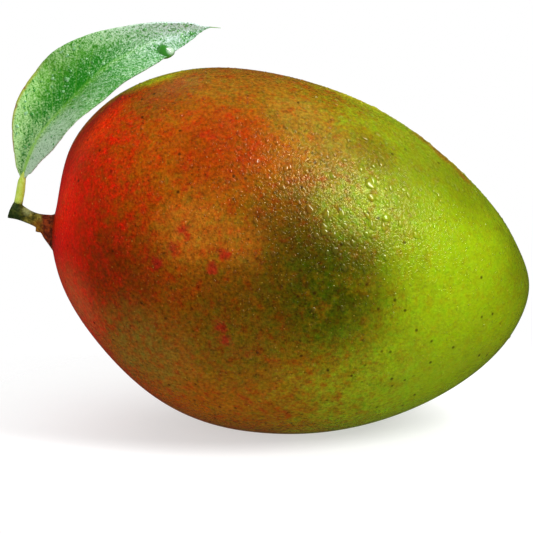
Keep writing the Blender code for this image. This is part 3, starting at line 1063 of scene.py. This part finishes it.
def skin_drop_places(random, wanted):
    """Seeded places on the skin, more of them on its upper right front."""
    tries = wanted * TRIES_PER_DROP
    station = random.uniform(-DEWY_STATIONS, DEWY_STATIONS, tries)
    turn = random.uniform(-math.pi, math.pi, tries)
    chance = random.uniform(0, 1, tries)
    points = skin_points(station, turn)
    facings = skin_normals(station, turn)
    away = (points[:, (0, 2)] - THICKEST_XZ) / THICK_SPREAD
    wet = np.exp(-(away**2).sum(axis=1))
    likely = REST_SHARE + (1 - REST_SHARE) * wet
    likely = likely * np.sqrt(np.clip(1 - station**2, 0.05, 1))
    kept = (points[:, 2] > LOWEST_DEW) & (facings[:, 2] > MOST_OVERHANG)
    chosen = np.flatnonzero((chance < likely) & kept)[:wanted]
    facings = facings[chosen]
    alongs = np.array((0.0, 0.0, -1.0)) + facings * facings[:, 2:]
    return points[chosen], facings, unit(alongs, TINY), wet[chosen]


def build_skin_drops(drop_material, mist_material):
    random = np.random.default_rng(SEED)
    *places, wet = skin_drop_places(random, SKIN_DROPS)
    size = random.uniform(0, 1, len(wet))
    radii = (SMALLEST_DROP + DROP_GROWTH * size**3 + THICK_GROWTH * size**4 * wet) * MM
    sizes = (radii, np.minimum(DROP_HEIGHT * radii, HIGHEST_DROP * MM))
    large = drops_object("skin_dew", drop_material, random, *places, sizes, DROP_STEPS)
    *places, wet = skin_drop_places(random, FINE_DROPS)
    radii = random.uniform(*MIST_RADII, len(wet)) * MM
    sizes = (radii, MIST_HEIGHT * radii)
    fine = drops_object("skin_mist", mist_material, random, *places, sizes, MIST_STEPS)
    piece(large, "skin")
    piece(fine, "skin")


# Lines and rods.
def smooth_line(points, steps):
    """Points along a smooth curve through the given ones, ends included."""
    rows = np.array(points, float)
    padded = np.vstack([2 * rows[0] - rows[1], rows, 2 * rows[-1] - rows[-2]])
    line = []
    for i in range(len(rows) - 1):
        a, b, c, d = padded[i : i + 4]
        for step in range(steps):
            t = step / steps
            bend = (2 * a - 5 * b + 4 * c - d) * t**2 + (3 * b - a - 3 * c + d) * t**3
            line.append((2 * b + (c - a) * t + bend) / 2)
    line.append(rows[-1])
    return np.array(line)


def ways_along(line, reach):
    """The direction of a line at each of its points, over a reach of points."""
    last = len(line) - 1
    ways = [
        line[min(last, i + reach)] - line[max(0, i - reach)] for i in range(last + 1)
    ]
    return unit(np.array(ways))


def add_rod(shape, centres, radii, ways, sides):
    """A closed round rod through the stations, each ring facing its way."""
    rings = []
    for centre, radius, way in zip(centres, radii, ways):
        side = unit(np.cross(way, (0.0, 1.0, 0.0)))
        front = np.cross(way, side)
        ring = []
        for spoke in range(sides):
            angle = 2 * math.pi * spoke / sides
            point = centre + radius * (math.cos(angle) * side + math.sin(angle) * front)
            ring.append(shape.verts.new(point))
        rings.append(ring)
    for ring, following in zip(rings, rings[1:]):
        for spoke in range(sides):
            after = (spoke + 1) % sides
            shape.faces.new(
                (ring[spoke], ring[after], following[after], following[spoke])
            )
    shape.faces.new(rings[0][::-1])
    shape.faces.new(rings[-1])


# The stem. The tapers are shares of the radius, from the root outwards.
STUB_TAPER = (1.0, 0.96, 0.93, 0.90, 0.86, 0.78)
BOSS_TAPER = (1.1, 1.08, 1.03, 0.98, 0.88)
BOSS_PROUD = 0.0002
TWIG_SIDES = 40
STUB_SIDES = 20
BOSS_SIDES = 24
REMESH_SIZE = 0.00016
SOFTENINGS = 3


def build_stem(material):
    """The twig, its snapped side shoot and the boss under the leaf, grown together."""
    stations = smooth_line(TWIG, 4)
    centres = stations[:, :3] + ROOT
    hold = np.linspace(1.0, 0.0, len(centres))[:, None] ** 2
    ways = unit(hold * OUT + (1 - hold) * ways_along(centres, 8))
    shape = bmesh.new()
    add_rod(shape, centres, stations[:, 3], ways, TWIG_SIDES)
    shoot = np.linspace(STUB_FROM, STUB_TO, len(STUB_TAPER)) + ROOT
    shoot_radii = STUB_RADIUS * np.array(STUB_TAPER)
    add_rod(shape, shoot, shoot_radii, ways_along(shoot, 1), STUB_SIDES)
    foot = ROOT + np.array(RIB_LINE[0])
    way = unit(np.subtract(RIB_LINE[1], RIB_LINE[0]))
    ends = (foot - BOSS_LENGTH * way, foot + BOSS_PROUD * way)
    boss = np.linspace(*ends, len(BOSS_TAPER))
    boss_radii = BOSS_RADIUS * np.array(BOSS_TAPER)
    add_rod(shape, boss, boss_radii, ways_along(boss, 1), BOSS_SIDES)
    face_out(shape)
    made = object_of(shape, "twig", material)
    remesh = made.modifiers.new("remesh", "REMESH")
    remesh.mode = "VOXEL"
    remesh.voxel_size = REMESH_SIZE
    remesh.use_smooth_shade = True
    soften = made.modifiers.new("soften", "SMOOTH")
    soften.iterations = SOFTENINGS
    soften.factor = 0.5
    piece(made, "bark", "stem")


# The leaf.
SMOOTHING_OFFSETS = [0.025 * step for step in (-1.5, -1.0, -0.5, 0.0, 0.5, 1.0, 1.5)]


def along_line(line, shares):
    """Points at these shares of a line's length."""
    steps = np.linalg.norm(np.diff(line, axis=0), axis=1)
    lengths = np.concatenate(([0.0], np.cumsum(steps)))
    wanted = np.asarray(shares) * lengths[-1]
    return np.stack([np.interp(wanted, lengths, line[:, i]) for i in range(3)], axis=1)


def smooth_table(shares, values, wanted):
    """A table's values at the wanted shares, without corners at its rows."""
    total = np.zeros(len(wanted))
    for offset in SMOOTHING_OFFSETS:
        total += np.interp(np.asarray(wanted) + offset, shares, values)
    return total / len(SMOOTHING_OFFSETS)


def blade_frames(line, rolls):
    """The width direction and the facing direction of the blade along its rib."""
    tangents = unit(np.gradient(line, axis=0))
    level = unit(np.cross(tangents, (0.0, -1.0, 0.0)))
    front = np.cross(level, tangents)
    turn = np.radians(rolls)[:, None]
    widths = level * np.cos(turn) + front * np.sin(turn)
    normals = front * np.cos(turn) - level * np.sin(turn)
    return widths, normals


def blade_points():
    """The blade's grid: points, facing directions, shares and sides."""
    rib = smooth_line(RIB_LINE, 12)[BLADE_FIRST * 12 :]
    shares = np.linspace(0.0, 1.0, BLADE_ROWS + 1)
    line = along_line(rib, shares)
    half_widths = smooth_table(BLADE_SHARES, BLADE_WIDTHS, shares) * MM
    half_widths *= np.clip((1 - shares) / BLADE_TIP_FROM, 0.0004, 1) ** 0.75
    half_widths *= np.clip((shares + 0.004) / BLADE_FOOT_TO, 0, 1) ** 0.8
    rolls = smooth_table(BLADE_SHARES, BLADE_ROLLS, shares)
    widths, normals = blade_frames(line, rolls)
    sides = np.linspace(-1.0, 1.0, BLADE_COLUMNS + 1)
    share, side = np.meshgrid(shares, sides, indexing="ij")
    half = half_widths[:, None]
    upper = UPPER_FULLER * np.exp(-(((share - 0.36) / 0.17) ** 2))
    lower = LOWER_FULLER * np.exp(-(((share - 0.28) / 0.10) ** 2))
    lower += LOWER_FULLER * np.exp(-(((share - 0.82) / 0.12) ** 2))
    out = (half + np.where(side < 0, upper, lower)) * np.abs(side)
    wave = BLADE_WAVE * side**2 * np.sin(2 * math.pi * BLADE_WAVES * share)
    wave *= half / half_widths.max() * np.where(side > 0, 1, -1)
    risen = np.hypot(out, FOLD_ROUNDING) - FOLD_ROUNDING
    lift = risen * math.sin(BLADE_FOLD) + wave
    reach = np.copysign(out - risen * (1 - math.cos(BLADE_FOLD)), side)
    phase = share - VEIN_LEAN * np.abs(side) ** VEIN_BEND
    vein = np.cos(2 * math.pi * VEIN_PAIRS * phase)
    pillow = -VEIN_RELIEF * np.clip(vein, 0, 1) ** 4 * np.clip(out / (2 * MM), 0, 1)
    lift = lift + pillow
    points = line[:, None] + reach[..., None] * widths[:, None]
    points = points + lift[..., None] * normals[:, None] + ROOT
    return points, share, side


def blade_facings(points):
    """Which way the blade's grid faces, towards -Y."""
    across = np.cross(np.gradient(points, axis=1), np.gradient(points, axis=0))
    facing = unit(across, TINY)
    return -facing if facing[..., 1].mean() > 0 else facing


def build_blade(material):
    points, share, side = blade_points()
    facing = blade_facings(points)
    shape = bmesh.new()
    uv = shape.loops.layers.uv.new("blade")
    grids = []
    for offset in (BLADE_THICKNESS / 2, -BLADE_THICKNESS / 2):
        rows = points + offset * facing
        grids.append([[shape.verts.new(place) for place in row] for row in rows])
    front, back = grids
    last_row, last_column = BLADE_ROWS, BLADE_COLUMNS

    def quad(a, b, c, d, marks):
        face = shape.faces.new((a, b, c, d))
        for loop, (i, j) in zip(face.loops, marks):
            loop[uv].uv = (share[i, j], (side[i, j] + 1) / 2)

    for i in range(last_row):
        for j in range(last_column):
            marks = ((i, j), (i + 1, j), (i + 1, j + 1), (i, j + 1))
            quad(*(front[a][b] for a, b in marks), marks)
            quad(*(back[a][b] for a, b in marks[::-1]), marks[::-1])
    edges = [(i, 0) for i in range(last_row + 1)]
    edges += [(last_row, j) for j in range(1, last_column + 1)]
    edges += [(i, last_column) for i in range(last_row - 1, -1, -1)]
    edges += [(0, j) for j in range(last_column - 1, 0, -1)]
    for here, there in zip(edges, edges[1:] + edges[:1]):
        corners = (
            front[here[0]][here[1]],
            back[here[0]][here[1]],
            back[there[0]][there[1]],
            front[there[0]][there[1]],
        )
        quad(*corners, (here, here, there, there))
    face_out(shape)
    piece(object_of(shape, "leaf_blade", material), "leaf", "leaf")


def build_rib(material):
    steps = 10
    line = smooth_line(RIB_LINE, steps)
    first = BLADE_FIRST * steps
    last = len(line) - 1
    rolls = np.interp(np.arange(len(line)), (first, last), (16.0, 0.0))
    _, normals = blade_frames(line, rolls)
    on_stalk = np.clip(1 - np.arange(len(line)) / first, 0, 1)
    on_blade = np.clip((np.arange(len(line)) - first) / (last - first), 0, 1)
    taper = np.clip(1 - on_blade / RIB_TAPERS_TO, 0, 1) ** 1.3
    taper = np.clip(0.86 * taper + 0.4 * on_stalk, 0, 1)
    radii = RIB_RADIUS + (STALK_RADIUS - RIB_RADIUS) * taper
    radii = radii + (TIP_RADIUS - RIB_RADIUS) * on_blade
    behind = 0.0005 * np.clip(10 * on_blade, 0, 1)
    centres = line - behind[:, None] * normals + ROOT
    hair = np.linspace(centres[-1], ROOT + np.array(HAIR_END), 9)[1:]
    centres = np.vstack([centres, hair])
    radii = np.append(radii, np.linspace(TIP_RADIUS, HAIR_RADIUS, len(hair)))
    shape = bmesh.new()
    add_rod(shape, centres, radii, ways_along(centres, 2), 20)
    face_out(shape)
    piece(object_of(shape, "leaf_rib", material), "leaf")


# The dew on the leaf: the shares and the sides where it lies, how far it strays from the
# grid, and its radii, in millimetres.
DEWY_SHARES = (0.06, 0.91)
SHARE_POWER = 0.85
DEWY_SIDES = 0.93
NUDGE = 0.25
SMALLEST_LEAF_DROP = 0.12
LEAF_DROP_GROWTH = 0.36
LEAF_DROP_HEIGHT = 0.45


def build_leaf_drops(material):
    random = np.random.default_rng(SEED + 1)
    points, _, _ = blade_points()
    rows = random.uniform(*DEWY_SHARES, LEAF_DROPS) ** SHARE_POWER
    columns = random.uniform(-DEWY_SIDES, DEWY_SIDES, LEAF_DROPS)
    rows = np.append(rows, BIG_DROP_SHARE)
    columns = np.append(columns, BIG_DROP_SIDE)
    i = np.clip(np.round(rows * BLADE_ROWS).astype(int), 1, BLADE_ROWS - 1)
    j = np.round((columns + 1) / 2 * BLADE_COLUMNS).astype(int)
    along = unit(points[i + 1, j] - points[i - 1, j])
    facings = blade_facings(points)[i, j]
    along = unit(along - facings * (along * facings).sum(axis=1)[:, None])
    nudge = random.uniform(-NUDGE, NUDGE, (len(rows), 1)) * MM
    places = points[i, j] + facings * BLADE_THICKNESS / 2 + along * nudge
    size = random.uniform(0, 1, len(rows))
    radii = (SMALLEST_LEAF_DROP + LEAF_DROP_GROWTH * size**6) * MM
    radii[-1] = BIG_DROP_RADIUS
    sizes = (radii, LEAF_DROP_HEIGHT * radii)
    made = drops_object(
        "leaf_dew", material, random, places, facings, along, sizes, DROP_STEPS
    )
    piece(made, "leaf")


# The stage. The floor fades out between these distances, in millimetres.
FLOOR_SIZE = 3.0
FLOOR_GREY = (0.50, 0.50, 0.50, 1.0)
FLOOR_GLOW = 0.54
FLOOR_ROUGHNESS = 0.9
FLOOR_SHINE = 0.1
FLOOR_FADE = (45.0, 125.0, 1.0, 0.0)


def build_floor():
    shape = bmesh.new()
    bmesh.ops.create_grid(shape, x_segments=1, y_segments=1, size=FLOOR_SIZE)
    material, shader, place = new_material("floor")
    dress(shader, FLOOR_GREY, FLOOR_ROUGHNESS, FLOOR_SHINE)
    shader.inputs["Emission Color"].default_value = WHITE
    shader.inputs["Emission Strength"].default_value = FLOOR_GLOW
    away = distance(place, (0.0, 0.0, 0.0))
    feed(shader.inputs["Alpha"], fade(away, *FLOOR_FADE))
    floor = object_of(shape, "floor", material)
    floor.visible_glossy = False


def aim(obj, place, target):
    obj.location = place
    way = Vector(target) - Vector(place)
    obj.rotation_euler = way.to_track_quat("-Z", "Y").to_euler()


def build_camera():
    camera = bpy.data.objects.new("camera", bpy.data.cameras.new("camera"))
    bpy.context.scene.collection.objects.link(camera)
    camera.data.lens = CAMERA_LENS
    camera.data.sensor_width = SENSOR_WIDTH
    camera.data.clip_start = 0.01
    back = Vector((0.0, -math.cos(CAMERA_TILT), math.sin(CAMERA_TILT)))
    target = Vector(CAMERA_TARGET)
    aim(camera, target + CAMERA_DISTANCE * back, target)
    bpy.context.scene.camera = camera


# Lights: the place, what it is aimed at, width, height and power.
MIDDLE = (0.0, 0.0, 0.045)
KEY = ((0.47, -0.34, 0.52), (0.02, -0.03, 0.06), 0.10, 0.40, 5.6)
FILL = ((-0.25, -0.90, 0.35), MIDDLE, 0.8, 0.8, 1.6)
OVERHEAD = ((0.0, 0.15, 0.95), MIDDLE, 1.3, 1.3, 5.8)
# How bright the white world is to the camera, as a light and in reflections.
SEEN_WHITE = 1.0
GIVEN_WHITE = 0.50
MIRRORED_WHITE = 0.03


def area_light(name, place, target, width, height, power):
    light = bpy.data.lights.new(name, "AREA")
    light.shape = "RECTANGLE"
    light.size = width
    light.size_y = height
    light.energy = power
    obj = bpy.data.objects.new(name, light)
    bpy.context.scene.collection.objects.link(obj)
    aim(obj, place, target)
    obj.visible_camera = False
    return obj


def build_light():
    """A tall key on the right, which alone gives the gloss, and two soft fills."""
    area_light("key", *KEY)
    for soft in (area_light("fill", *FILL), area_light("overhead", *OVERHEAD)):
        soft.visible_glossy = False


def build_world():
    """White to the camera, a dimmer white for its light, and dim in reflections."""
    world = bpy.data.worlds.new("world")
    bpy.context.scene.world = world
    world.use_nodes = True
    tree = world.node_tree
    tree.nodes.clear()
    seen, given, mirrored = (
        add_node("Background", {"Color": WHITE, "Strength": strength}, tree)
        for strength in (SEEN_WHITE, GIVEN_WHITE, MIRRORED_WHITE)
    )
    path = add_node("LightPath", {}, tree).outputs
    shown = given
    for ray, other in (("Is Glossy Ray", mirrored), ("Is Camera Ray", seen)):
        inputs = {0: path[ray], 1: shown.outputs[0], 2: other.outputs[0]}
        shown = add_node("MixShader", inputs)
    add_node("OutputWorld", {0: shown.outputs[0]})


build_skin(make_skin())
build_skin_drops(
    make_drops("skin_dew", 0.02, 0.15), make_drops("skin_mist", 0.03, 0.20)
)
build_stem(make_bark())
build_blade(make_leaf())
build_rib(make_stalk())
build_leaf_drops(make_leaf_drops())
build_floor()
build_camera()
build_light()
build_world()
bpy.context.scene.view_settings.view_transform = "Standard"
